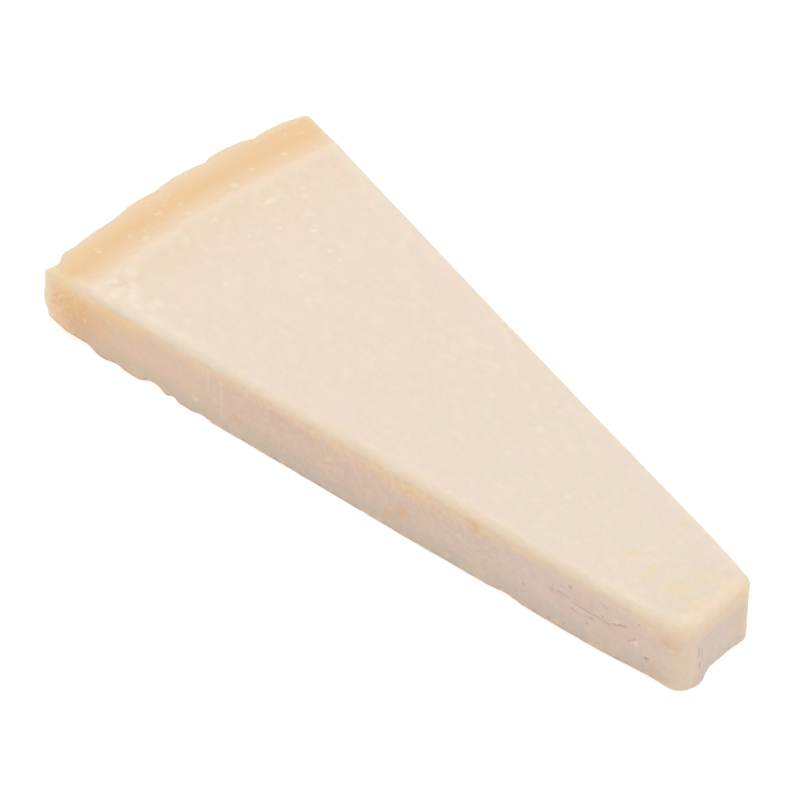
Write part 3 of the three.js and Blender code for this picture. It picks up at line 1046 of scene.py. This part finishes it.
def hairlines(place_here, paths):
    """1 on broken lines: the distance to a stretch is taken from the nearest point of it."""
    nearest = None
    for (ax, ay), (bx, by) in [(a, b) for path in paths for a, b in zip(path, path[1:])]:
        stretch = float(np.hypot(bx - ax, by - ay))
        onwards = ((bx - ax) / stretch, (by - ay) / stretch, 0.0)
        from_start = vector_math("SUBTRACT", place_here, (ax, ay, 0.0))
        walked = vector_math("DOT_PRODUCT", from_start, onwards, "Value").at_least(0.0).at_most(stretch)
        on_line = make(nodes, "ShaderNodeVectorMath", {"operation": "SCALE"}, {0: onwards, "Scale": walked})
        away = vector_math("DISTANCE", from_start, on_line.out("Vector"), "Value")
        nearest = nearest.at_most(away) if nearest else away
    return between(nearest, FISSURE_LINE, FISSURE_LINE / 3)


def grains(spacing, shift):
    """1 in the middle of scattered grains, which are the cells of a random pattern, one in four of them."""
    sockets = {"Vector": place_on_object, "Location": [shift] * 3, "Scale": [1 / (MM * spacing)] * 3}
    cells = make(nodes, "ShaderNodeMapping", {"vector_type": "POINT"}, sockets).out("Vector")
    found = make(nodes, "ShaderNodeTexVoronoi", {"feature": "F1"}, {"Vector": cells, "Scale": 1.0})
    chosen = make(nodes, "ShaderNodeSeparateColor", {}, {"Color": found.out("Color")}).out("Red")
    return between(found.out("Distance"), 0.28, 0.1) * between(chosen, 0.7, 0.8)


top_place = on_face(from_rind_here, from_front_here)
front_place = on_face(from_rind_here, height_here)
nose_place = on_face(from_front_here, height_here)
print("a fissure's dark line is", FISSURE_LINE, "mm to each side at most")

# %% [markdown]
# Each mark is shown only on its own face, and noise breaks most of them up. Where the paste tore, near the
# nose, many fine level lines lie close together.

# %% Masks of the marks
GRAIN_SPACING = 2.1
COARSE_SPACING = 1.9 * GRAIN_SPACING
TORN_PLACES = [(128.5, 10.5, 5.0), (134.5, 9.8, 6.5), (141.5, 10.0, 5.0)]

broken = between(mottle((1.3, 1.3, 1.3), 3.0, 7.0), 0.4, 0.56)
torn = spots_here(front_place, TORN_PLACES) * front_face
torn_lines = torn * between(mottle((2.6, 2.6, 0.6), 3.0, 23.0), 0.52, 0.64)
cracks = hairlines(front_place, FISSURES) * front_face + hairlines(nose_place, NOSE_FISSURES) * nose_face
cracks = cracks * broken
pits_here = spots_here(front_place, PITS) * front_face
crystals_here = spots_here(top_place, CRYSTALS) * (1.0 - side) + attribute("hidden_marks")
stained = spots_here(front_place, STAINS) * front_face * between(lumpy, 0.3, 0.5)
chips_here = spots_here(front_place, CHIPPED) * front_face * between(grainy, 0.35, 0.5)
scuff_here = attribute("scuffed") * between(mottle((2.6, 2.2, 2.2), 4.0, 17.0), 0.3, 0.6)
grain_marks = grains(GRAIN_SPACING, 0.0) * 0.6 + grains(COARSE_SPACING, 4.0) * 0.8
grain_marks = grain_marks * (1.0 - outer_rind)
near_band = 0.35 + 0.65 * (1.0 - between(from_rind_here, 14.0, 30.0))
print("the marks bring the finish to", len(nodes), "nodes")

# %% [markdown]
# Grains, the scuffed corner and small chips are paler than the paste, and stains are more orange. Pits and
# cracks are darker, which is painted shade in their hollows, and so are the step of the torn edge and the
# fine torn lines. A crystal is clear rather than white, so it brightens whatever colour lies under it.

# %% Colours of the marks
CRYSTAL_WHITE = (240, 229, 214)
CRYSTAL_GAIN = (1.12, 1.14, 1.19)
# Painted shade under the small step of the torn edge and in the fine torn lines.
TORN_SHADE_ROSE = (198, 160, 138)
STAIN_ORANGE = (220, 180, 134)

colour = blend(grain_marks * near_band * 0.5, colour, CRYSTAL_WHITE)
colour = blend(crystals_here, colour, vector_math("MULTIPLY", colour, CRYSTAL_GAIN))
for shown, mark_colour in [
    (scuff_here * 0.62, CRYSTAL_WHITE),
    (attribute("torn_edge") * 0.3, TORN_SHADE_ROSE),
    (stained * 0.78, STAIN_ORANGE),
    (chips_here * 0.7 + attribute("knife_lines") * 0.3, GRAIN_WHITE),
    (torn * 0.3, CLOUD_PINK),
    (torn_lines * 0.4, TORN_SHADE_ROSE),
    (cracks * 0.34 + pits_here * 0.45, SHADE_AND_GRAIN_BROWN),
]:
    colour = blend(shown, colour, mark_colour)
print("colour is worked out by", len(nodes), "nodes")

# %% [markdown]
# The cut surface is satin, with a little fat on a fine grain. Bumps finer than the mesh come from the
# noises above. Cheese lets light in and scatters it, red the furthest. A paler colour could stand for that,
# but real scattering also softens the shade at the worn edges.

# %% Bumps and the shader
BUMP_STRENGTH = 0.4
BUMP_HEIGHT = 0.0001
SCATTERED = 0.6
SCATTER_LENGTH = 3 * MM
SCATTER_COLOUR = (1.0, 0.55, 0.25)

bumps = 1.2 * grainy + 4.0 * lumpy + 3.0 * sawn_lines * side
bumps = bumps + 1.2 * grain_marks + 1.0 * scuff_here
bump_sockets = {"Height": bumps, "Strength": BUMP_STRENGTH, "Distance": BUMP_HEIGHT}
bump = make(nodes, "ShaderNodeBump", {}, bump_sockets)
roughness = 0.44 + 0.14 * lumpy + 0.08 * outer_rind
shader = make(
    nodes,
    "ShaderNodeBsdfPrincipled",
    {"subsurface_method": "RANDOM_WALK"},
    {
        "Base Color": colour,
        "Roughness": roughness,
        "Normal": bump.out("Normal"),
        "Subsurface Weight": SCATTERED,
        "Subsurface Radius": SCATTER_COLOUR,
        "Subsurface Scale": SCATTER_LENGTH,
        "IOR": 1.45,
    },
)
make(nodes, "ShaderNodeOutputMaterial", {}, {"Surface": shader.out("BSDF")})
mesh.materials.append(finish)
print("finish with", len(nodes), "nodes")

# %% [markdown]
# The stage is as plain as the photograph's. A white floor glows a little by itself, so that only a faint
# shadow is left on it, soft white light comes from everywhere, and a large lamp overhead makes the top the
# brightest face.

# %% Stage and light
WHITE = (1.0, 1.0, 1.0, 1.0)
FLOOR_SIZE = 3.0
FLOOR_WHITE = 0.5
FLOOR_ROUGHNESS = 0.9
FLOOR_GLOW = 0.68
SKY_STRENGTH = 0.54
LAMP_SIZE = 0.9
LAMP_PLACE = Vector((0.05, 0.1, 1.0))
LAMP_POWER = 7.0

half = FLOOR_SIZE / 2
floor_corners = [(-half, -half, 0), (half, -half, 0), (half, half, 0), (-half, half, 0)]
floor_mesh = bpy.data.meshes.new("floor")
floor_mesh.from_pydata(floor_corners, [], [(0, 1, 2, 3)])
floor = bpy.data.objects.new("floor", floor_mesh)
bpy.context.collection.objects.link(floor)
paper = bpy.data.materials.new("white floor")
paper.use_nodes = True
paper_shader = paper.node_tree.nodes["Principled BSDF"]
paper_shader.inputs["Base Color"].default_value = (FLOOR_WHITE, FLOOR_WHITE, FLOOR_WHITE, 1.0)
paper_shader.inputs["Roughness"].default_value = FLOOR_ROUGHNESS
paper_shader.inputs["Emission Color"].default_value = WHITE
paper_shader.inputs["Emission Strength"].default_value = FLOOR_GLOW
floor_mesh.materials.append(paper)

sky = bpy.data.worlds.new("soft sky")
sky.use_nodes = True
sky.node_tree.nodes["Background"].inputs["Color"].default_value = WHITE
sky.node_tree.nodes["Background"].inputs["Strength"].default_value = SKY_STRENGTH
bpy.context.scene.world = sky

lamp_data = bpy.data.lights.new("overhead", "AREA")
lamp_data.shape = "DISK"
lamp_data.size = LAMP_SIZE
lamp_data.energy = LAMP_POWER
lamp = bpy.data.objects.new("overhead", lamp_data)
lamp.location = LAMP_PLACE
lamp.rotation_euler = (-LAMP_PLACE).to_track_quat("-Z", "Y").to_euler()
bpy.context.collection.objects.link(lamp)
bpy.context.scene.view_settings.view_transform = "Standard"
print("a floor", FLOOR_SIZE, "m wide, sky at", SKY_STRENGTH, "and one lamp of", LAMP_POWER, "W")
